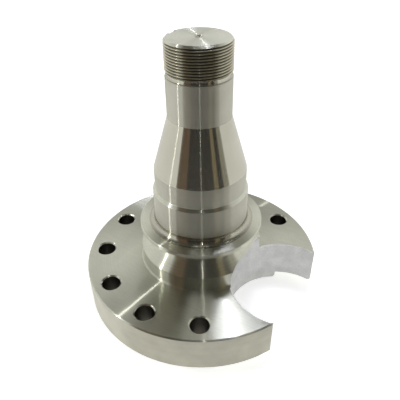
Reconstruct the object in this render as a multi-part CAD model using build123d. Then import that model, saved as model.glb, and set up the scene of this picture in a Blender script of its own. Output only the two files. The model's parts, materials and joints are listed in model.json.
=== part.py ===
from build123d import *
import os
from math import cos, hypot, radians, sin, tan

# Bolt-on axle spindle for a heavy vehicle wheel: one steel forging, turned all over and milled.
# The origin is on the spindle's axis in the plane of the flange's mounting face. +Z points to the
# threaded end, and +X points to the middle of the clearance notch. Sizes are in millimetres.

# Flange, and the pilot that centres it on the axle beam
flange_diameter = 208
flange_thickness = 35
flange_back_chamfer = 2.5
flange_front_chamfer = 1
pilot_diameter = 144
pilot_height = 6.5
pilot_chamfer = 1.8

# Bolt holes on an even circle, left out where the notch takes their place
bolt_hole_diameter = 16
bolt_hole_rim_distance = 15.5
bolt_circle_divisions = 12
bolt_hole_chamfer = 1
bolt_edge_wall = 6

# Hub on the flange, narrowed to a throat under the collar
hub_diameter = 107
hub_height = 14.2
hub_foot_radius = 2
flare_height = 12.1
flare_radius = 8
throat_diameter = 86
throat_height = 9.1

# Collar, whose upper face stops the seal ring
collar_diameter = 106
collar_thickness = 4.2
collar_chamfer = 0.5

# Seal journal, with a relief in the corner that it makes with the collar
seal_journal_diameter = 80
seal_journal_length = 24.9
shoulder_relief_height = 6.2
shoulder_relief_reach = 5.1
shoulder_relief_depth = 0.4
shoulder_relief_radius = 4.7

# Inner bearing journal, with a sloping step and a grinding relief at its foot
inner_journal_diameter = 76.2
inner_journal_length = 16.5
inner_step_height = 2.2
inner_relief_width = 1.1
inner_relief_depth = 0.3

# Cone between the two bearing journals
cone_length = 44.7

# Outer bearing journal
outer_journal_diameter = 50
outer_journal_length = 31.2

# Threaded end for the lock nut, drawn here at the thread's major diameter
thread_diameter = 50
thread_length = 24.1
thread_relief_diameter = 47
thread_relief_width = 2.9
thread_start_height = 1.5
thread_end_chamfer = 1.9

# Keyway for the lock washer's tongue, on the side away from the notch
keyway_width = 8
keyway_overrun = 1.9
keyway_floor_radius = 21.4

# Clearance notch: an upright bite out of the rim that reaches up into the hub
notch_radius = 47.2
notch_axis_rim_distance = 20.6
notch_height_above_flange = 20.3
notch_corner_radius = 12.8
notch_tip_chamfer = 2

# Centre holes that carry the piece in the lathe
centre_drill_diameter = 3.15
centre_cone_diameter = 6.7
centre_cone_angle = 60
centre_drill_depth = 5.6

# Least strip of wall between two fillets, and how near an edge lies to the place that names it
least_wall = 0.05
edge_tolerance = 0.01

# Circles that are set in from the rim
bolt_circle_radius = flange_diameter / 2 - bolt_hole_rim_distance
notch_axis_distance = flange_diameter / 2 - notch_axis_rim_distance

# Heights of the steps along the axis
hub_top = flange_thickness + hub_height
flare_top = hub_top + flare_height
collar_bottom = flare_top + throat_height
collar_top = collar_bottom + collar_thickness
seal_journal_bottom = collar_top + shoulder_relief_height
seal_journal_top = seal_journal_bottom + seal_journal_length
inner_relief_bottom = seal_journal_top + inner_step_height
inner_journal_bottom = inner_relief_bottom + inner_relief_width
inner_journal_top = inner_journal_bottom + inner_journal_length
cone_top = inner_journal_top + cone_length
outer_journal_top = cone_top + outer_journal_length
thread_bottom = outer_journal_top + thread_relief_width
end_face = thread_bottom + thread_length
keyway_length = thread_length + keyway_overrun


def flange_and_pilot_corners():
    """Corners of the pilot and the flange, from the axis outwards and up to the hub's foot."""
    pilot = pilot_diameter / 2
    flange = flange_diameter / 2
    return [
        (0, -pilot_height, 0),
        (pilot - pilot_chamfer, -pilot_height, 0),
        (pilot, pilot_chamfer - pilot_height, 0),
        (pilot, 0, 0),
        (flange - flange_back_chamfer, 0, 0),
        (flange, flange_back_chamfer, 0),
        (flange, flange_thickness, 0),
        (hub_diameter / 2, flange_thickness, hub_foot_radius),
    ]


def hub_and_collar_corners():
    """Corners of the hub, its flare, the throat and the collar."""
    collar = collar_diameter / 2
    throat = throat_diameter / 2
    return [
        (hub_diameter / 2, hub_top, 0),
        (throat, flare_top, flare_radius),
        (throat, collar_bottom, 0),
        (collar, collar_bottom, 0),
        (collar, collar_top - collar_chamfer, 0),
        (collar - collar_chamfer, collar_top, 0),
    ]


def seal_journal_corners():
    """Corners of the relief at the collar and of the seal journal."""
    journal = seal_journal_diameter / 2
    depth = shoulder_relief_depth
    return [
        (journal + shoulder_relief_reach, collar_top, 0),
        (journal - depth, collar_top - depth, shoulder_relief_radius),
        (journal, seal_journal_bottom, 0),
        (journal, seal_journal_top, 0),
    ]


def bearing_journal_corners():
    """Corners of the inner journal, the cone and the outer journal."""
    inner = inner_journal_diameter / 2
    outer = outer_journal_diameter / 2
    return [
        (inner - inner_relief_depth, inner_relief_bottom, 0),
        (inner, inner_journal_bottom, 0),
        (inner, inner_journal_top, 0),
        (outer, cone_top, 0),
        (outer, outer_journal_top, 0),
    ]


def threaded_end_corners():
    """Corners of the thread relief and the threaded end, up to the axis at the end face."""
    floor = thread_relief_diameter / 2
    major = thread_diameter / 2
    return [
        (floor, outer_journal_top, 0),
        (floor, thread_bottom, 0),
        (major, thread_bottom + thread_start_height, 0),
        (major, end_face - thread_end_chamfer, 0),
        (major - thread_end_chamfer, end_face, 0),
        (0, end_face, 0),
    ]


def fitted_radii(points, radii):
    """Radii for the corners between the ends, cut back where two arcs would meet on a wall."""
    walls = [Vector(*end) - Vector(*start) for start, end in zip(points, points[1:])]
    turns = [radians(wall.get_angle(after)) for wall, after in zip(walls, walls[1:])]
    reaches = [0, *(radius * tan(turn / 2) for radius, turn in zip(radii, turns)), 0]
    shares = [
        min(1, (wall.length - least_wall) / max(reach + next_reach, least_wall))
        for wall, reach, next_reach in zip(walls, reaches, reaches[1:])
    ]
    return [radius * min(pair) for radius, pair in zip(radii, zip(shares, shares[1:]))]


def turned_body():
    """The lathe-turned body, its half section revolved about the axis."""
    corners = [
        *flange_and_pilot_corners(),
        *hub_and_collar_corners(),
        *seal_journal_corners(),
        *bearing_journal_corners(),
        *threaded_end_corners(),
    ]
    points = [(radius, height) for radius, height, _ in corners]
    radii = [corner_radius for _, _, corner_radius in corners]
    outline = FilletPolyline(*points, radius=fitted_radii(points, radii[1:-1]))
    axis_side = Line(points[-1], points[0])
    return revolve(Plane.XZ * make_face([outline, axis_side]), Axis.Z)


def bolt_hole_centres():
    """Centres of the holes on the bolt circle that stand clear of the notch."""
    clear_distance = notch_radius + bolt_hole_diameter / 2 + bolt_edge_wall
    for position in range(bolt_circle_divisions):
        angle = radians(360 / bolt_circle_divisions * position)
        x = bolt_circle_radius * cos(angle)
        y = bolt_circle_radius * sin(angle)
        if hypot(x - notch_axis_distance, y) > clear_distance:
            yield x, y


def bolt_hole():
    """Cutter for one through hole, chamfered at both faces of the flange."""
    radius = bolt_hole_diameter / 2
    mouth = radius + bolt_hole_chamfer
    section = Polyline(
        (0, 0),
        (mouth, 0),
        (radius, bolt_hole_chamfer),
        (radius, flange_thickness - bolt_hole_chamfer),
        (mouth, flange_thickness),
        (0, flange_thickness),
        close=True,
    )
    return revolve(Plane.XZ * make_face(section), Axis.Z)


def notch():
    """Cutter for the clearance notch, rounded where it ends inside the hub."""
    bottom = -pilot_height
    height = flange_thickness + notch_height_above_flange - bottom
    bite = Cylinder(notch_radius, height, align=(Align.CENTER, Align.CENTER, Align.MIN))
    roof_edge = bite.edges().sort_by(Axis.Z)[-1]
    return Pos(notch_axis_distance, 0, bottom) * fillet(roof_edge, notch_corner_radius)


def distance_out(edge):
    """Distance of an edge's middle from the spindle's axis."""
    middle = edge @ 0.5
    return hypot(middle.X, middle.Y)


def with_broken_edges(blank):
    """The notched blank with the notch's two tips and the flange's front edges chamfered."""
    rim_radius = flange_diameter / 2
    tips = [
        edge
        for edge in blank.edges().filter_by(Axis.Z)
        if abs(distance_out(edge) - rim_radius) < edge_tolerance
    ]
    blank = chamfer(tips, notch_tip_chamfer)
    hub_foot = hub_diameter / 2 + hub_foot_radius
    front_edges = blank.edges().filter_by_position(Axis.Z, flange_thickness, flange_thickness)
    outline = [edge for edge in front_edges if distance_out(edge) > hub_foot + edge_tolerance]
    return chamfer(outline, flange_front_chamfer)


def keyway():
    """Cutter for the keyway, milled from the end face down into the thread relief."""
    slot = Rot(0, 0, 90) * SlotOverall(2 * keyway_length, keyway_width)
    side = Plane(origin=(-keyway_floor_radius, 0, end_face), x_dir=(0, 1, 0), z_dir=(-1, 0, 0))
    return side * extrude(slot, thread_diameter / 2)


def centre_hole():
    """Cutter for a centre hole that opens upwards at the origin."""
    drill = centre_drill_diameter / 2
    mouth = centre_cone_diameter / 2
    cone_depth = (mouth - drill) / tan(radians(centre_cone_angle / 2))
    section = Polyline(
        (0, 0),
        (mouth, 0),
        (drill, -cone_depth),
        (drill, -centre_drill_depth),
        (0, -centre_drill_depth - drill / 2),
        close=True,
    )
    return revolve(Plane.XZ * make_face(section), Axis.Z)


body = with_broken_edges(turned_body() - notch())
body -= [Pos(x, y, 0) * bolt_hole() for x, y in bolt_hole_centres()]
body -= keyway()
body -= Pos(0, 0, end_face) * centre_hole()
body -= Pos(0, 0, -pilot_height) * Rot(180, 0, 0) * centre_hole()

os.makedirs("parts", exist_ok=True)
export_step(body, "parts/axle_spindle.step")
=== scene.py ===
import json
from math import ceil, cos, hypot, pi, radians, sin, tan

import bmesh
import bpy
from bpy.props import FloatProperty, FloatVectorProperty, PointerProperty
from mathutils import Matrix, Vector


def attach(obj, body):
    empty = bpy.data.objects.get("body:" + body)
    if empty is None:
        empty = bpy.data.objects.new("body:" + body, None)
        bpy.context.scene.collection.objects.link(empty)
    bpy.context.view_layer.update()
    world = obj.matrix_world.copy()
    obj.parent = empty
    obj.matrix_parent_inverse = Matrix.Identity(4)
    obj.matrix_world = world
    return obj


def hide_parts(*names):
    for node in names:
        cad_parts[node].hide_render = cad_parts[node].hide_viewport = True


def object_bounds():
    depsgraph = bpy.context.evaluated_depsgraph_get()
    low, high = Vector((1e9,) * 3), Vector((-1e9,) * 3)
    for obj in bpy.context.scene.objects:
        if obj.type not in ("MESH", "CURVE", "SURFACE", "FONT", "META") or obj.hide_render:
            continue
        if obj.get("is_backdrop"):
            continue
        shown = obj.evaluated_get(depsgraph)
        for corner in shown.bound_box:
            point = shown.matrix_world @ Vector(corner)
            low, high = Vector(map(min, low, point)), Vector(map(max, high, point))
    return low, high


bl_info = {
    "name": "Axle Spindle",
    "version": (1, 0, 0),
    "blender": (4, 5, 0),
    "location": "3D View > Sidebar > Spindle",
    "description": "Turns, mills and threads a bolt-on axle spindle and lights it on a plain stage",
    "category": "Object",
}

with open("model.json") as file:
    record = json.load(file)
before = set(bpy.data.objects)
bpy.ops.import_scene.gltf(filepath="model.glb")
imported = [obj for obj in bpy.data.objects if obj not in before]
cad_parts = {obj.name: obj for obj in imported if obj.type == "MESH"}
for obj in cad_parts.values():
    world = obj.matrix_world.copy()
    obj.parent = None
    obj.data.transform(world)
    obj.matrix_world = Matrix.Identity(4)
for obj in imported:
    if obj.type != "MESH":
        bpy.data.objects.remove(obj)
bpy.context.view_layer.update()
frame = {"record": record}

MM = 0.001
WELD = 0.0005 * MM          # vertices nearer than this are one
ON_RING = 0.01 * MM         # how near a vertex lies to the ring that names it
OVERSHOOT = 5 * MM          # how far a milling cutter's sweep reaches past the steel
TURN_STEPS = 240            # steps round the spindle's axis
NOTCH_STEPS = 160
HOLE_STEPS = 64
KEYWAY_STEPS = 24           # steps in the keyway's round end
THREAD_STEPS = 120          # steps in each turn of the thread
FILLET_STEP = radians(9)    # most that one facet of a fillet turns
SHARP = radians(22)         # edges that fold more than this stay crisp
LEVEL = 0.9999              # a face whose normal rises more than this is level and shaded flat
COUNTERSUNK = 0.5           # a face of a hole whose normal rises more than this is its chamfer

CENTRE_SLOPE = radians(30)  # between the axis and the wall of a centre hole's mouth

# Patterns of the bare steel. Its marks and scratches are finer in truth, and drawn as coarse as they show
MARK_WIDTH = 0.9 * MM
SCRATCH_SIZE = (22 * MM, 0.5 * MM, 20 * MM)    # along, across and upwards
SCRATCH_ANGLES = (0.5, -0.3)                   # radians about the axis
SCRATCH_STARTS = 0.6                           # noise above this is a scratch
HANDLING_SIZE = 18 * MM                        # of the blotches that hands leave
CLOUD_SIZE, CLOUD_SHADES = 12 * MM, (0.86, 1.05)    # on milled, drilled and filed faces
GRIT_SIZE, GRIT_SHADES = 1.5 * MM, (0.95, 1.04)
NOISE_LOW, NOISE_HIGH = 0.3, 0.7               # most of a noise's values lie between these
FEED_ANISOTROPY = 0.88
QUARTER_TURN = 0.25                            # turns a shader's stretch from along the marks to across
OIL_SIZE, OIL_SHADES = 4 * MM, (0.85, 1.1)     # of the blotches of oil on the thread
# Where oil and painted shade darken the thread's roots, and how dark they are at the deepest
OIL_AND_PAINTED_SHADE_STARTS, OIL_AND_PAINTED_SHADE_FULL = 0.35 * MM, 1.1 * MM     # depths under the thread's crest
ROOT_OIL_AND_PAINTED_SHADE = 0.25

# The metric thread's form
FLANK_ANGLE = radians(30)   # between a flank and the plane across the axis
CREST_SHARE = 1 / 8         # share of the pitch that the flat crest takes

# One finish for each way in which a surface of the spindle is cut
TURNED, FACED, GROUND, BURNISHED, THREADED, RIM, MILLED, DRILLED_PAINTED_SHADE, FILED_PAINTED_HIGHLIGHT = range(9)


def mount(name):
    """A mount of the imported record, with its place and its sizes."""
    return next(m for m in frame["record"]["mounts"] if m["name"] == name)


def mount_radius(name):
    """The radius of a round mount."""
    return mount(name)["dims"]["r_mm"] * MM


def mount_span(name):
    """The lower and upper end of a shaft mount along the spindle's axis."""
    middle = mount(name)["pos_m"][2]
    half = mount(name)["dims"]["length_mm"] * MM / 2
    return middle - half, middle + half


def shaft_mount(name):
    """The radius, the foot and the top of a shaft mount."""
    return mount_radius(name), *mount_span(name)


def length(name, description, millimetres):
    """A size that a user can change, in metres inside Blender."""
    return FloatProperty(
        name=name, description=description, default=millimetres * MM, unit="LENGTH", precision=4
    )


def linear(hex_colour):
    """The linear values of an sRGB colour given as six hex digits."""
    channels = [int(hex_colour[i:i + 2], 16) / 255 for i in (0, 2, 4)]
    return [c / 12.92 if c <= 0.04045 else ((c + 0.055) / 1.055) ** 2.4 for c in channels]


def colour(name, description, hex_colour):
    """A colour that a user can change."""
    return FloatVectorProperty(
        name=name, description=description, default=linear(hex_colour), subtype="COLOR", min=0, max=1
    )


class SpindleSizes(bpy.types.PropertyGroup):
    """Sizes of the spindle that its mounts don't give."""

    flange_diameter: length("Flange diameter", "Across the rim", 208)
    flange_thickness: length("Flange thickness", "From the mounting face to the face under the hub", 35)
    flange_back_chamfer: length("Back chamfer", "On the rim at the mounting face", 2.5)
    flange_front_chamfer: length("Front chamfer", "On the flange's upper outline", 1)
    pilot_height: length("Pilot height", "How far the pilot stands out of the mounting face", 6.5)
    pilot_chamfer: length("Pilot chamfer", "On the pilot's edge", 1.8)
    hub_diameter: length("Hub diameter", "Across the hub on the flange", 107)
    hub_height: length("Hub height", "Of the hub's straight wall", 14.2)
    hub_foot_radius: length("Hub foot radius", "Fillet between hub and flange", 2)
    flare_height: length("Flare height", "From the hub to the throat", 12.1)
    flare_radius: length("Flare radius", "Fillet between flare and throat", 8)
    throat_diameter: length("Throat diameter", "Under the collar", 86)
    throat_height: length("Throat height", "From the flare to the collar", 9.1)
    throat_fillet: length("Throat fillet", "Between the throat and the collar", 2.5)
    collar_diameter: length("Collar diameter", "Across the collar that stops the seal", 106)
    collar_thickness: length("Collar thickness", "Of the collar", 4.2)
    collar_chamfer: length("Collar chamfer", "On both edges of the collar", 0.5)
    shoulder_relief_reach: length("Shoulder relief reach", "From the seal journal out over the collar", 5.1)
    shoulder_relief_depth: length("Shoulder relief depth", "Into the journal and into the collar", 0.4)
    shoulder_relief_radius: length("Shoulder relief radius", "Fillet in the corner at the collar", 4.7)
    inner_relief_width: length("Inner relief width", "Of the slope at the inner journal's foot", 1.1)
    broken_edge: length("Broken edge", "On the hub and on the journals", 0.3)
    cone_fillet: length("Cone fillet", "Fillet at the foot and the top of the cone", 7)
    thread_pitch: length("Thread pitch", "From crest to crest", 2)
    thread_depth: length("Thread depth", "From crest to root", 1.23)
    thread_start: length("Thread start", "Height of the slope at the thread's foot", 1.5)
    thread_start_fillet: length("Thread start fillet", "Between the relief and that slope", 0.4)
    thread_run_in: length("Thread run-in", "From the threading tool's start to the thread", 3.2)
    thread_run_out: length("Thread run-out", "How far the tool's middle leaves the thread's top", 4)
    thread_tool_height: length("Thread tool height", "How far the tool stands out of the crests", 1)
    thread_end_chamfer: length("Thread end chamfer", "At the end face", 1.9)
    relief_diameter: length("Thread relief diameter", "Floor of the groove under the thread", 47)
    relief_fillet: length("Thread relief fillet", "At the outer journal", 0.8)
    keyway_width: length("Keyway width", "Of the slot for the lock washer's tongue", 8)
    keyway_floor: length("Keyway floor", "From the axis to the keyway's floor", 21.4)
    keyway_run_out: length("Keyway run-out", "How far the keyway ends under the thread", 3.4)
    centre_drill: length("Centre drill", "Diameter of the centre holes", 3.15)
    centre_mouth: length("Centre mouth", "Across the mouth of the centre holes", 6.7)
    centre_depth: length("Centre depth", "Of the centre holes, without the drill's tip", 5.6)
    hole_chamfer: length("Hole chamfer", "At both ends of the bolt holes", 1)
    notch_radius: length("Notch radius", "Of the clearance notch", 47.2)
    notch_inset: length("Notch inset", "From the rim to the notch's own axis", 20.6)
    notch_reach: length("Notch reach", "How far the notch goes up into the hub", 20.3)
    notch_corner: length("Notch corner", "Fillet between the notch's wall and roof", 12.8)
    notch_tip_chamfer: length("Notch tip chamfer", "On the two upright edges at the rim", 2)


class SpindleColours(bpy.types.PropertyGroup):
    """Colours of the bare steel, one for each way of cutting it; the drilled one also holds painted shade and
    the filed one a painted highlight.
    """

    turned: colour("Turned steel", "Faces cut on the lathe", "CFCFBF")
    faced: colour("Faced steel", "The end face", "D0D0C2")
    ground: colour("Ground steel", "Bearing and seal journals", "BFBEB0")
    burnished: colour("Burnished steel", "The cone and the reliefs", "B3B1A2")
    threaded: colour("Threaded steel", "Flanks and crests of the thread", "BDB7A0")
    rim: colour("Rim steel", "The flange's rim", "BAB8A8")
    milled: colour("Milled steel", "The notch's wall", "CBCBC9")
    # Darkened as painted shade for the walls inside the bolt holes
    drilled: colour("Drilled steel", "Walls of the bolt holes", "5E5A52")
    # Near white as a painted highlight along the broken edges
    filed: colour("Filed steel", "Broken edges of the flange", "F2F2EC")


def ring_edges(bm, centre, radius, height):
    """Edges of the ring with this radius and height round an upright axis."""

    def on_ring(vert):
        distance = hypot(vert.co.x - centre[0], vert.co.y - centre[1])
        return abs(distance - radius) < ON_RING and abs(vert.co.z - height) < ON_RING

    return [edge for edge in bm.edges if on_ring(edge.verts[0]) and on_ring(edge.verts[1])]


def bevel(bm, edges, offset, segments):
    """Chamfers edges, or rounds them when there are more segments, and returns the new faces."""
    return bmesh.ops.bevel(
        bm, geom=edges, offset=offset, offset_type="OFFSET", segments=segments, profile=0.5,
        affect="EDGES", material=-1, clamp_overlap=False,
    )["faces"]


def lathe(bm, outline, steps, centre=(0.0, 0.0), finish=TURNED):
    """Adds a turned solid. Its outline of (radius, height, fillet) runs from axis to axis."""
    verts = [bm.verts.new((centre[0] + radius, centre[1], height)) for radius, height, _ in outline]
    edges = [bm.edges.new(pair) for pair in zip(verts, verts[1:])]
    bmesh.ops.spin(
        bm, geom=verts + edges, cent=(*centre, 0), axis=(0, 0, 1), angle=2 * pi, steps=steps, use_merge=True
    )
    bmesh.ops.remove_doubles(bm, verts=bm.verts, dist=WELD)
    for before, corner, after in zip(outline, outline[1:], outline[2:]):
        radius, height, fillet = corner
        if fillet:
            wall = Vector(corner[:2]) - Vector(before[:2])
            turn = wall.angle(Vector(after[:2]) - Vector(corner[:2]))
            ring = ring_edges(bm, centre, radius, height)
            bevel(bm, ring, fillet * tan(turn / 2), ceil(turn / FILLET_STEP))
    for face in bm.faces:
        face.material_index = max(face.material_index, finish)


def blank_outline(s):
    """The spindle's half section, from the pilot's centre hole to the end face's centre hole."""
    flange, flange_top = s.flange_diameter / 2, s.flange_thickness
    hub, hub_top = s.hub_diameter / 2, flange_top + s.hub_height
    throat, throat_foot = s.throat_diameter / 2, hub_top + s.flare_height
    collar, collar_foot = s.collar_diameter / 2, throat_foot + s.throat_height
    collar_top = collar_foot + s.collar_thickness
    pilot = mount_radius("register_pilot")
    seal, seal_foot, seal_top = shaft_mount("seal_journal")
    inner, inner_foot, inner_top = shaft_mount("inner_bearing_journal")
    outer, outer_foot, outer_top = shaft_mount("outer_bearing_journal")
    major, thread_foot, thread_top = shaft_mount("lock_nut_thread")
    relief = s.relief_diameter / 2
    end_face = thread_top + s.thread_end_chamfer
    edge = s.broken_edge
    return [
        *reversed(centre_hole_outline(s, -s.pilot_height, 1)),
        (pilot - s.pilot_chamfer, -s.pilot_height, 0),
        (pilot, s.pilot_chamfer - s.pilot_height, 0),
        (pilot, 0, 0),
        (flange - s.flange_back_chamfer, 0, 0),
        (flange, s.flange_back_chamfer, 0),
        (flange, flange_top, 0),
        (hub, flange_top, s.hub_foot_radius),
        (hub, hub_top, edge),
        (throat, throat_foot, s.flare_radius),
        (throat, collar_foot, s.throat_fillet),
        (collar - s.collar_chamfer, collar_foot, 0),
        (collar, collar_foot + s.collar_chamfer, 0),
        (collar, collar_top - s.collar_chamfer, 0),
        (collar - s.collar_chamfer, collar_top, 0),
        (seal + s.shoulder_relief_reach, collar_top, 0),
        (seal - s.shoulder_relief_depth, collar_top - s.shoulder_relief_depth, s.shoulder_relief_radius),
        (seal, seal_foot, 0),
        (seal, seal_top, edge),
        (inner - edge, inner_foot - s.inner_relief_width, 0),
        (inner, inner_foot, 0),
        (inner, inner_top, s.cone_fillet),
        (outer, outer_foot, s.cone_fillet),
        (outer, outer_top - edge, 0),
        (outer - edge, outer_top, 0),
        (relief, outer_top, s.relief_fillet),
        (relief, thread_foot - s.thread_start, s.thread_start_fillet),
        (major, thread_foot, 0),
        (major, thread_top, 0),
        (major - s.thread_end_chamfer, end_face, 0),
        *centre_hole_outline(s, end_face, -1),
    ]


def centre_hole_outline(s, face, inwards):
    """A lathe's centre hole from its mouth to its tip, going in the given direction along the axis."""
    drill, mouth = s.centre_drill / 2, s.centre_mouth / 2
    cone_depth = (mouth - drill) / tan(CENTRE_SLOPE)
    return [
        (mouth, face, 0),
        (drill, face + inwards * cone_depth, 0),
        (drill, face + inwards * s.centre_depth, 0),
        (0, face + inwards * (s.centre_depth + drill / 2), 0),
    ]


def notch_cutter(s):
    """The milling cutter's sweep for the clearance notch."""
    bm = bmesh.new()
    roof = s.flange_thickness + s.notch_reach
    centre = (s.flange_diameter / 2 - s.notch_inset, 0)
    bottom = -s.pilot_height - OVERSHOOT
    outline = [
        (0, bottom, 0), (s.notch_radius, bottom, 0), (s.notch_radius, roof, s.notch_corner), (0, roof, 0),
    ]
    lathe(bm, outline, NOTCH_STEPS, centre, MILLED)
    return bm


def bolt_hole_centres():
    """Centres of the bolt holes, from the record's patterns and its single hole."""
    single = mount("flange_bolt_opposite_notch")["pos_m"]
    centres = [(single[0], single[1])]
    for name in ("flange_bolts_corners", "flange_bolts_middle", "flange_bolts_rear"):
        pattern = mount(name)
        half_x = pattern["dims"].get("spacing_x_mm", 0) * MM / 2
        half_y = pattern["dims"]["spacing_y_mm"] * MM / 2
        for x in {-half_x, half_x}:
            centres += [(pattern["pos_m"][0] + x, y) for y in (-half_y, half_y)]
    return sorted(centres)


def hole_cutter(s):
    """The drill's and the countersink's sweep for all bolt holes. It starts as far out as it cuts in."""
    bm = bmesh.new()
    radius = mount_radius("flange_bolt_opposite_notch")
    top, chamfer = s.flange_thickness, s.hole_chamfer
    mouth = radius + 2 * chamfer
    outline = [
        (0, -chamfer, 0), (mouth, -chamfer, 0), (radius, chamfer, 0),
        (radius, top - chamfer, 0), (mouth, top + chamfer, 0), (0, top + chamfer, 0),
    ]
    for centre in bolt_hole_centres():
        # The hole walls take the dark steel whose colour holds painted shade
        lathe(bm, outline, HOLE_STEPS, centre, DRILLED_PAINTED_SHADE)
    bm.normal_update()
    for face in bm.faces:
        if abs(face.normal.z) > COUNTERSUNK:
            face.material_index = TURNED
    return bm


def keyway_cutter(s):
    """The end mill's sweep for the keyway, on the side away from the notch."""
    bm = bmesh.new()
    half, floor = s.keyway_width / 2, -s.keyway_floor
    foot, top = mount_span("lock_nut_thread")
    middle = foot - s.keyway_run_out + half
    bm.verts.new((floor, -half, middle))
    bmesh.ops.spin(
        bm, geom=bm.verts[:], cent=(floor, 0, middle), axis=(1, 0, 0), angle=pi, steps=KEYWAY_STEPS,
        use_merge=False,
    )
    round_end = list(bm.verts)
    open_end = [bm.verts.new((floor, side, top + OVERSHOOT)) for side in (half, -half)]
    face = bm.faces.new(round_end + open_end)
    wall = bmesh.ops.extrude_face_region(bm, geom=[face])["geom"]
    moved = [item for item in wall if isinstance(item, bmesh.types.BMVert)]
    bmesh.ops.translate(bm, verts=moved, vec=(-2 * OVERSHOOT, 0, 0))
    for face in bm.faces:
        face.material_index = THREADED
    return bm


def thread_cutter(s):
    """The threading tool's sweep: a vee that climbs a right-hand helix past the end face."""
    bm = bmesh.new()
    major, foot, top = shaft_mount("lock_nut_thread")
    half_mouth = s.thread_pitch * (1 - CREST_SHARE) / 2
    half_root = half_mouth - s.thread_depth * tan(FLANK_ANGLE)
    root, outside = major - s.thread_depth, major + s.thread_tool_height
    start = foot - s.thread_run_in
    turns = ceil((top + s.thread_run_out - start) / s.thread_pitch)
    section = [
        (outside, -half_mouth), (major, -half_mouth), (root, -half_root),
        (root, half_root), (major, half_mouth), (outside, half_mouth),
    ]
    verts = [bm.verts.new((radius, 0, start + height)) for radius, height in section]
    edges = [bm.edges.new((a, b)) for a, b in zip(verts, verts[1:] + verts[:1])]
    bmesh.ops.spin(
        bm, geom=verts + edges, cent=(0, 0, 0), axis=(0, 0, 1), dvec=(0, 0, s.thread_pitch / THREAD_STEPS),
        angle=2 * pi * turns, steps=THREAD_STEPS * turns, use_merge=False,
    )
    bmesh.ops.holes_fill(bm, edges=[edge for edge in bm.edges if edge.is_boundary], sides=0)
    for face in bm.faces:
        face.material_index = THREADED
    return bm


def object_from(bm, name, materials):
    """A mesh object made from a bmesh, which is freed."""
    bmesh.ops.recalc_face_normals(bm, faces=bm.faces)
    mesh = bpy.data.meshes.new(name)
    bm.to_mesh(mesh)
    bm.free()
    for material in materials:
        mesh.materials.append(material)
    piece = bpy.data.objects.new(name, mesh)
    bpy.context.collection.objects.link(piece)
    return piece


def cut(piece, bm):
    """Takes the cutter's volume away from the piece and leaves the cutter's finish on the new walls."""
    cutter = object_from(bm, "cutter", piece.data.materials)
    modifier = piece.modifiers.new("cut", "BOOLEAN")
    modifier.operation = "DIFFERENCE"
    modifier.solver = "EXACT"
    modifier.material_mode = "INDEX"
    modifier.object = cutter
    evaluated = piece.evaluated_get(bpy.context.evaluated_depsgraph_get())
    mesh = bpy.data.meshes.new_from_object(evaluated)
    if not mesh.polygons:
        raise RuntimeError("a cutter took the whole piece away")
    piece.modifiers.clear()
    old = piece.data
    piece.data = mesh
    bpy.data.meshes.remove(old)
    bpy.data.objects.remove(cutter)


def break_flange_edges(piece, s):
    """Chamfers the notch's two tips and the flange's upper outline."""
    bm = bmesh.new()
    bm.from_mesh(piece.data)
    rim, top = s.flange_diameter / 2, s.flange_thickness

    def distance(vert):
        return hypot(vert.co.x, vert.co.y)

    upper = [face for face in bm.faces if all(abs(v.co.z - top) < ON_RING for v in face.verts)]
    bmesh.ops.dissolve_faces(bm, faces=upper, use_verts=True)
    tips = [
        edge for edge in bm.edges
        if all(abs(distance(v) - rim) < ON_RING for v in edge.verts)
        and abs(edge.verts[0].co.z - edge.verts[1].co.z) > top / 2
        and edge.calc_face_angle(0) > SHARP
    ]
    filed = bevel(bm, tips, s.notch_tip_chamfer, 1)
    hub_foot = s.hub_diameter / 2 + s.hub_foot_radius
    outline = [
        edge for edge in bm.edges
        if all(abs(v.co.z - top) < ON_RING for v in edge.verts)
        and edge.calc_face_angle(0) > SHARP
        and max(distance(v) for v in edge.verts) > hub_foot + ON_RING
    ]
    filed += bevel(bm, outline, s.flange_front_chamfer, 1)
    # The lathe breaks the rim's edge, whose chamfer has its middle outside this radius, and a file the rest
    turned_radius = rim - 0.6 * s.flange_front_chamfer
    # The filed chamfers take the near-white steel whose colour is a painted highlight
    for face in filed:
        if face.is_valid:
            turned = hypot(*face.calc_center_median()[:2]) > turned_radius
            face.material_index = TURNED if turned else FILED_PAINTED_HIGHLIGHT
    bm.to_mesh(piece.data)
    bm.free()


def finish_at(radius, height, s):
    """Which finish the lathe and the grinder leave at a place on the blank."""
    seal, inner, outer = (
        mount_span(f"{name}_journal") for name in ("seal", "inner_bearing", "outer_bearing")
    )
    thread_foot, thread_top = mount_span("lock_nut_thread")
    collar_top = s.flange_thickness + s.hub_height + s.flare_height + s.throat_height + s.collar_thickness
    if height > thread_top + s.thread_end_chamfer - ON_RING:
        return FACED
    if any(low < height < high for low, high in (seal, inner, outer)):
        return GROUND
    if inner[1] <= height <= outer[0] or outer[1] < height < thread_foot:
        return BURNISHED
    in_shoulder_relief = radius < mount_radius("seal_journal") + s.shoulder_relief_reach
    if in_shoulder_relief and collar_top - 2 * s.shoulder_relief_depth < height < seal[0]:
        return BURNISHED
    rim = s.flange_diameter / 2 - s.flange_back_chamfer
    if radius > rim and height < s.flange_thickness - 2 * s.flange_front_chamfer:
        return RIM
    return TURNED


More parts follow.
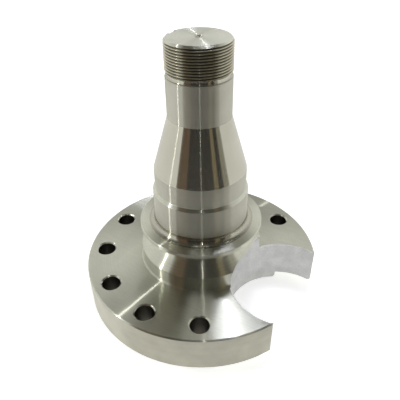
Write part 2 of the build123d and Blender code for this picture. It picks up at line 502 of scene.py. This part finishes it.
class SPINDLE_OT_machine(bpy.types.Operator):
    """Turns the spindle, mills its notch and keyway, drills its holes and cuts its thread"""

    bl_idname = "spindle.machine"
    bl_label = "Machine the Spindle"

    def execute(self, context):
        s = context.scene.spindle_sizes
        bm = bmesh.new()
        lathe(bm, blank_outline(s), TURN_STEPS)
        for face in bm.faces:
            centre = face.calc_center_median()
            face.material_index = finish_at(hypot(centre.x, centre.y), centre.z, s)
        spindle = object_from(bm, "threaded_spindle", steel_finishes(context.scene.spindle_colours))
        cut(spindle, notch_cutter(s))
        break_flange_edges(spindle, s)
        cut(spindle, thread_cutter(s))
        cut(spindle, hole_cutter(s))
        cut(spindle, keyway_cutter(s))
        mesh = spindle.data
        mesh.polygons.foreach_set("use_smooth", [abs(face.normal.z) < LEVEL for face in mesh.polygons])
        mesh.set_sharp_from_angle(angle=SHARP)
        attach(spindle, "root")
        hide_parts("axle_spindle")
        return {"FINISHED"}


def add_node(owner, kind, settings=None, links=None):
    """Adds a node to a material or world, sets its properties and sockets, and links its inputs."""
    node = owner.node_tree.nodes.new(kind)
    for name, value in (settings or {}).items():
        if isinstance(name, int) or name in node.inputs:
            node.inputs[name].default_value = value
        else:
            setattr(node, name, value)
    for name, source in (links or {}).items():
        owner.node_tree.links.new(source, node.inputs[name])
    return node


def empty_nodes(owner):
    """The same material or world with a node tree that holds nothing yet."""
    owner.use_nodes = True
    owner.node_tree.nodes.clear()
    return owner


def distance_from_axis(material, place):
    """How far a place lies from the spindle's axis, and how high."""
    split = add_node(material, "ShaderNodeSeparateXYZ", {}, {0: place})
    level = add_node(material, "ShaderNodeCombineXYZ", {}, {0: split.outputs["X"], 1: split.outputs["Y"]})
    radius = add_node(material, "ShaderNodeVectorMath", {"operation": "LENGTH"}, {0: level.outputs[0]})
    return radius.outputs["Value"], split.outputs["Z"]


def uneven(material, place, noise_settings, low, high):
    """A noise pattern whose usual values are spread from low to high."""
    noise = add_node(material, "ShaderNodeTexNoise", noise_settings, {"Vector": place})
    spread = {"From Min": NOISE_LOW, "From Max": NOISE_HIGH, "To Min": low, "To Max": high}
    return add_node(material, "ShaderNodeMapRange", spread, {"Value": noise.outputs[0]}).outputs[0]


def turning_marks(material, place, depth):
    """Values that vary from ring to ring round the axis, as a lathe tool or a grinding wheel marks it."""
    radius, height = distance_from_axis(material, place)
    ring = add_node(material, "ShaderNodeCombineXYZ", {}, {0: radius, 1: height})
    marks = {"noise_dimensions": "2D", "Scale": 1 / MARK_WIDTH, "Detail": 3.0}
    return uneven(material, ring.outputs[0], marks, 1 - depth, 1 + depth)


def blotches(material, place, size, low, high):
    """Values that drift over the surface, as wear and handling leave it."""
    return uneven(material, place, {"Scale": 1 / size, "Detail": 4.0}, low, high)


def scratches(material, place, angle, depth):
    """Values that drop along fine straight scratches, as a piece gets them on the bench."""
    along = add_node(
        material, "ShaderNodeMapping",
        {"Rotation": (0, 0, angle), "Scale": tuple(1 / size for size in SCRATCH_SIZE)}, {"Vector": place},
    )
    noise = add_node(
        material, "ShaderNodeTexNoise", {"Scale": 1.0, "Detail": 1.0}, {"Vector": along.outputs[0]}
    )
    groove = {"From Min": SCRATCH_STARTS, "From Max": NOISE_HIGH, "To Min": 1.0, "To Max": 1 - depth}
    return add_node(material, "ShaderNodeMapRange", groove, {"Value": noise.outputs[0]}).outputs[0]


def shaded_steel(material, rgb, patterns):
    """The steel's colour, made lighter and darker by each pattern in turn."""
    first, *others = patterns
    steel = add_node(
        material, "ShaderNodeVectorMath", {"operation": "SCALE", 0: tuple(rgb)}, {"Scale": first}
    )
    for pattern in others:
        steel = add_node(
            material, "ShaderNodeVectorMath", {"operation": "SCALE"}, {0: steel.outputs[0], "Scale": pattern}
        )
    return steel.outputs[0]


def axis_tangent(material, place):
    """The direction round the spindle's axis, along which the tool ran."""
    across = add_node(
        material, "ShaderNodeVectorMath", {"operation": "CROSS_PRODUCT", 0: (0, 0, 1)}, {1: place}
    )
    return add_node(
        material, "ShaderNodeVectorMath", {"operation": "NORMALIZE"}, {0: across.outputs[0]}
    ).outputs[0]


def lathe_metal(
    name, rgb, roughness, anisotropic, feed_roughness, feed_share, marks, scratched=0.0, mottle=0.04
):
    """Steel with marks round the axis: a soft lobe, and a share of feed marks that draw lines of light."""
    material = empty_nodes(bpy.data.materials.new(name))
    place = add_node(material, "ShaderNodeTexCoord").outputs["Object"]
    tangent = axis_tangent(material, place)
    patterns = [
        turning_marks(material, place, marks),
        blotches(material, place, HANDLING_SIZE, 1 - mottle, 1 + mottle),
    ]
    if scratched:
        patterns += [scratches(material, place, angle, scratched) for angle in SCRATCH_ANGLES]
    steel = shaded_steel(material, rgb, patterns)
    soft = add_node(
        material, "ShaderNodeBsdfPrincipled",
        {
            "Metallic": 1.0, "Roughness": roughness, "Anisotropic": anisotropic,
            "Anisotropic Rotation": QUARTER_TURN,
        },
        {"Base Color": steel, "Tangent": tangent},
    )
    surface = soft.outputs[0]
    if feed_share:
        feed = add_node(
            material, "ShaderNodeBsdfAnisotropic",
            {"Roughness": feed_roughness, "Anisotropy": FEED_ANISOTROPY},
            {"Color": steel, "Tangent": tangent},
        )
        both = {1: surface, 2: feed.outputs[0]}
        surface = add_node(material, "ShaderNodeMixShader", {0: feed_share}, both).outputs[0]
    add_node(material, "ShaderNodeOutputMaterial", {}, {"Surface": surface})
    return material


def thread_metal(name, rgb, roughness):
    """Steel cut with a threading tool, with its roots darkened by oil and painted shade."""
    material = empty_nodes(bpy.data.materials.new(name))
    place = add_node(material, "ShaderNodeTexCoord").outputs["Object"]
    crest = mount_radius("lock_nut_thread")
    # Oil and painted shade darken the thread towards its roots
    oil_and_painted_shade = add_node(
        material, "ShaderNodeMapRange",
        {
            "From Min": crest - OIL_AND_PAINTED_SHADE_FULL, "From Max": crest - OIL_AND_PAINTED_SHADE_STARTS,
            "To Min": ROOT_OIL_AND_PAINTED_SHADE, "To Max": 1.0,
        },
        {"Value": distance_from_axis(material, place)[0]},
    )
    patterns = [oil_and_painted_shade.outputs[0], blotches(material, place, OIL_SIZE, *OIL_SHADES)]
    shader = add_node(
        material, "ShaderNodeBsdfPrincipled",
        {"Metallic": 1.0, "Roughness": roughness, "Anisotropic": 0.9, "Anisotropic Rotation": QUARTER_TURN},
        {"Base Color": shaded_steel(material, rgb, patterns), "Tangent": axis_tangent(material, place)},
    )
    add_node(material, "ShaderNodeOutputMaterial", {}, {"Surface": shader.outputs[0]})
    return material


def grainless_metal(name, rgb, roughness, metallic=1.0):
    """Steel cut by the side of an end mill, a drill or a file, without a grain that catches light."""
    material = empty_nodes(bpy.data.materials.new(name))
    place = add_node(material, "ShaderNodeTexCoord").outputs["Object"]
    patterns = [
        blotches(material, place, CLOUD_SIZE, *CLOUD_SHADES),
        blotches(material, place, GRIT_SIZE, *GRIT_SHADES),
    ]
    shader = add_node(
        material, "ShaderNodeBsdfPrincipled", {"Metallic": metallic, "Roughness": roughness},
        {"Base Color": shaded_steel(material, rgb, patterns)},
    )
    add_node(material, "ShaderNodeOutputMaterial", {}, {"Surface": shader.outputs[0]})
    return material


def steel_finishes(c):
    """The materials in the order of the finish numbers. All are the same bare carbon steel, with painted shade
    in the drilled walls' colour and a painted highlight in the filed edges' colour.
    """
    return [
        # Tool marks round the axis draw each lamp out into a line, and stretch reflections across the marks
        lathe_metal(
            "turned_steel", c.turned, roughness=0.32, anisotropic=1.0, feed_roughness=0.23, feed_share=0.55,
            marks=0.04, scratched=0.08,
        ),
        # A slower cut over the end face: duller, with one crossed line of light
        lathe_metal(
            "faced_steel", c.faced, roughness=0.7, anisotropic=0.0, feed_roughness=0.2, feed_share=0.35,
            marks=0.03, scratched=0.05,
        ),
        # Fine grinding: satin, even and without visible marks, with thin upright lines of light
        lathe_metal(
            "ground_steel", c.ground, roughness=0.66, anisotropic=0.3, feed_roughness=0.26, feed_share=0.42,
            marks=0.01,
        ),
        # Rolled almost to a mirror, so that the room shows as upright bands
        lathe_metal(
            "burnished_steel", c.burnished, roughness=0.2, anisotropic=1.0, feed_roughness=0.17,
            feed_share=0.5, marks=0.01,
        ),
        # Bright crests over roots darkened by oil and painted shade
        thread_metal("thread_cut_steel", c.threaded, roughness=0.3),
        # A coarse cut that handling has dulled in patches
        lathe_metal(
            "rim_turned_steel", c.rim, roughness=0.42, anisotropic=0.8, feed_roughness=0.3, feed_share=0.0,
            marks=0.02, mottle=0.1,
        ),
        # Dull, light grey and slightly cloudy
        grainless_metal("milled_steel", c.milled, roughness=0.5),
        # Dark with painted shade, as the holes get little light
        grainless_metal("drilled_steel_painted_shade", c.drilled, roughness=0.4),
        # A painted highlight: near white and almost matt, so the edge is a pale line
        grainless_metal("filed_steel_painted_highlight", c.filed, roughness=0.5, metallic=0.1),
    ]


# The camera of the photograph, worked out from the rims and steps that are circles
VIEW_AZIMUTH = radians(31.4)     # turn of the photograph's view about the spindle's axis
CAMERA_DISTANCE = 316.86 * MM    # from the axis, level
CAMERA_HEIGHT = 315.87 * MM      # above the mounting face
CAMERA_PITCH = radians(35.435)   # downwards
CAMERA_ROLL = radians(-0.848)
CAMERA_YAW = radians(-0.116)
FOCAL_PIXELS = 451.1             # in the photograph's 400 pixels
FRAME_PIXELS = 400
SENSOR = 36                      # millimetres across

# The set round the spindle
LAMP_AIM = Vector((0, 0, 100 * MM))
FAN_TINT = "E7EAFF"
FLOOR_REACH = 4                  # metres from the axis to the paper's edge
PAPER_COLOUR = "E7E7E7"
PAPER_GLOW = 0.6                 # what the lit paper lacks to look white
WALL_TOP = 0.55                  # sine of the elevation at which the white wall ends
CEILING_EDGE = 0.8               # sine of the elevation at which the dark ceiling starts
WALL_COLOUR = "FFFFFF"
CEILING_COLOUR = "575753"
ROOM_STRENGTH = 1.05
CARD_LIFT = 0.2 * MM             # above the floor
CARD_STEPS = 24


def around(azimuth_degrees, distance, height):
    """A place at an angle from the camera's side, counted to the picture's right."""
    angle = VIEW_AZIMUTH - pi / 2 + radians(azimuth_degrees)
    return Vector((distance * cos(angle), distance * sin(angle), height))


def add_camera():
    """The camera that took the photograph."""
    data = bpy.data.cameras.new("camera")
    data.sensor_width = SENSOR
    data.lens = FOCAL_PIXELS / FRAME_PIXELS * SENSOR
    camera = bpy.data.objects.new("camera", data)
    turn = Matrix.Rotation(VIEW_AZIMUTH - CAMERA_YAW, 4, "Z")
    tilt = Matrix.Rotation(pi / 2 - CAMERA_PITCH, 4, "X")
    roll = Matrix.Rotation(CAMERA_ROLL, 4, "Z")
    place = Matrix.Translation(around(0, CAMERA_DISTANCE, CAMERA_HEIGHT))
    camera.matrix_world = place @ turn @ tilt @ roll
    bpy.context.collection.objects.link(camera)
    bpy.context.scene.camera = camera


def add_lamp(name, azimuth, elevation, distance, size, radiance, tint="FFFFFF"):
    """A small square soft box that faces the spindle's hub, with its brightness as seen in a mirror."""
    data = bpy.data.lights.new(name, "AREA")
    data.shape = "SQUARE"
    data.size = size
    data.energy = radiance * pi * size ** 2
    data.color = linear(tint)
    lamp = bpy.data.objects.new(name, data)
    offset = around(azimuth, distance * cos(radians(elevation)), distance * sin(radians(elevation)))
    facing = offset.to_track_quat("Z", "Y").to_matrix().to_4x4()
    lamp.matrix_world = Matrix.Translation(LAMP_AIM + offset) @ facing
    lamp.visible_camera = False
    bpy.context.collection.objects.link(lamp)


def glowing_card(name, hex_colour):
    """A card's colour as metal mirrors it, whatever light falls on the card."""
    material = empty_nodes(bpy.data.materials.new(name))
    glow = add_node(material, "ShaderNodeEmission", {"Color": (*linear(hex_colour), 1), "Strength": 1.0})
    add_node(material, "ShaderNodeOutputMaterial", {}, {"Surface": glow.outputs[0]})
    return material


def seen_directly_or_mirrored(owner):
    """1 for rays from the camera, from metal and from glass, and 0 for the light that falls on the object."""
    path = add_node(owner, "ShaderNodeLightPath")
    seen = path.outputs["Is Camera Ray"]
    for kind in ("Is Glossy Ray", "Is Transmission Ray"):
        seen = add_node(
            owner, "ShaderNodeMath", {"operation": "ADD", "use_clamp": True}, {0: seen, 1: path.outputs[kind]}
        ).outputs[0]
    return seen


def add_floor():
    """White paper that keeps the spindle's shadow and looks white to the camera and in the metal."""
    bm = bmesh.new()
    bmesh.ops.create_grid(bm, x_segments=1, y_segments=1, size=FLOOR_REACH)
    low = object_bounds()[0][2]
    bmesh.ops.translate(bm, verts=bm.verts, vec=(0, 0, low))
    material = empty_nodes(bpy.data.materials.new("white_paper"))
    paper = add_node(material, "ShaderNodeBsdfDiffuse", {"Color": (*linear(PAPER_COLOUR), 1)})
    fill = add_node(
        material, "ShaderNodeMath", {"operation": "MULTIPLY", 1: PAPER_GLOW},
        {0: seen_directly_or_mirrored(material)},
    )
    glow = add_node(material, "ShaderNodeEmission", {}, {"Strength": fill.outputs[0]})
    both = add_node(material, "ShaderNodeAddShader", {}, {0: paper.outputs[0], 1: glow.outputs[0]})
    add_node(material, "ShaderNodeOutputMaterial", {}, {"Surface": both.outputs[0]})
    object_from(bm, "floor", [material])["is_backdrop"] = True


def add_world():
    """A pale room: white at the horizon and dark overhead."""
    world = empty_nodes(bpy.data.worlds.new("studio"))
    bpy.context.scene.world = world
    place = add_node(world, "ShaderNodeTexCoord")
    split = add_node(world, "ShaderNodeSeparateXYZ", {}, {0: place.outputs["Generated"]})
    ramp = add_node(world, "ShaderNodeValToRGB", {}, {0: split.outputs["Z"]})
    wall, ceiling = ramp.color_ramp.elements
    wall.position, ceiling.position = WALL_TOP, CEILING_EDGE
    wall.color = (*linear(WALL_COLOUR), 1)
    ceiling.color = (*linear(CEILING_COLOUR), 1)
    background = add_node(
        world, "ShaderNodeBackground", {"Strength": ROOM_STRENGTH}, {"Color": ramp.outputs["Color"]}
    )
    add_node(world, "ShaderNodeOutputWorld", {}, {"Surface": background.outputs[0]})


def add_card(name, first, last, inner, outer, top, hex_colour):
    """A card that only the metal sees: it lies on the floor, turns up at its outer edge and stands."""
    bm = bmesh.new()
    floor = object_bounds()[0][2] + CARD_LIFT
    foot = around(first, inner, floor)
    corner = around(first, outer, floor)
    points = [foot, corner, Vector((corner.x, corner.y, top))]
    verts = [bm.verts.new(point) for point in points]
    edges = [bm.edges.new(pair) for pair in zip(verts, verts[1:])]
    bmesh.ops.spin(
        bm, geom=verts + edges, cent=(0, 0, 0), axis=(0, 0, 1), angle=radians(last - first), steps=CARD_STEPS,
        use_merge=False,
    )
    card = object_from(bm, name, [glowing_card(name, hex_colour)])
    card.visible_camera = False
    card.visible_shadow = False
    card.visible_diffuse = False
    card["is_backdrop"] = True


class SPINDLE_OT_stage(bpy.types.Operator):
    """Sets up the camera, the white floor, the pale room, the cards and the lamps"""

    bl_idname = "spindle.stage"
    bl_label = "Set Up the Stage"

    def execute(self, context):
        add_camera()
        add_floor()
        add_world()
        # What the dark front of the spindle mirrors: the room behind the camera, from its left to its right
        add_card("dark_card", first=-54, last=52, inner=0.21, outer=0.4, top=0.5, hex_colour="3F3C3A")
        add_card("brown_card", first=-52, last=-30, inner=0.209, outer=0.39, top=0.42, hex_colour="796555")
        add_card("olive_card", first=30, last=40, inner=0.209, outer=0.39, top=0.42, hex_colour="95896C")
        add_card("grey_card", first=52, last=66, inner=0.21, outer=0.4, top=0.5, hex_colour="AAA69B")
        # The lines of light on the shaft and the flange's left
        add_lamp("left_lamp", azimuth=-80, elevation=34, distance=1.5, size=0.04, radiance=560)
        add_lamp("front_lamp", azimuth=1.5, elevation=37.5, distance=0.4, size=0.005, radiance=420)
        # The bright fan on the flange's right, a little blue against the steel's own yellow
        add_lamp("back_lamp", azimuth=158, elevation=70, distance=1.7, size=0.25, radiance=17.4, tint=FAN_TINT)
        add_lamp("side_lamp", azimuth=146, elevation=66, distance=1.7, size=0.3, radiance=8.12, tint=FAN_TINT)
        # The line across the end face
        add_lamp("line_lamp", azimuth=160, elevation=66, distance=1.5, size=0.03, radiance=380)
        # The soft light over the flange's front
        add_lamp("top_lamp", azimuth=-172, elevation=83, distance=2, size=0.5, radiance=2.2)
        context.scene.view_settings.view_transform = "Standard"
        return {"FINISHED"}


class SPINDLE_PT_panel(bpy.types.Panel):
    """Lists the spindle's operators, sizes and colours"""

    bl_idname = "SPINDLE_PT_panel"
    bl_label = "Axle Spindle"
    bl_space_type = "VIEW_3D"
    bl_region_type = "UI"
    bl_category = "Spindle"

    def draw(self, context):
        self.layout.operator("spindle.machine")
        self.layout.operator("spindle.stage")
        for group in (context.scene.spindle_sizes, context.scene.spindle_colours):
            for name in group.bl_rna.properties.keys():
                if name not in ("rna_type", "name"):
                    self.layout.prop(group, name)


CLASSES = (SpindleSizes, SpindleColours, SPINDLE_OT_machine, SPINDLE_OT_stage, SPINDLE_PT_panel)


def register():
    for cls in CLASSES:
        bpy.utils.register_class(cls)
    bpy.types.Scene.spindle_sizes = PointerProperty(type=SpindleSizes)
    bpy.types.Scene.spindle_colours = PointerProperty(type=SpindleColours)


def unregister():
    del bpy.types.Scene.spindle_colours
    del bpy.types.Scene.spindle_sizes
    for cls in reversed(CLASSES):
        bpy.utils.unregister_class(cls)


def main():
    register()
    bpy.ops.spindle.machine()
    bpy.ops.spindle.stage()


if __name__ == "__main__":
    main()
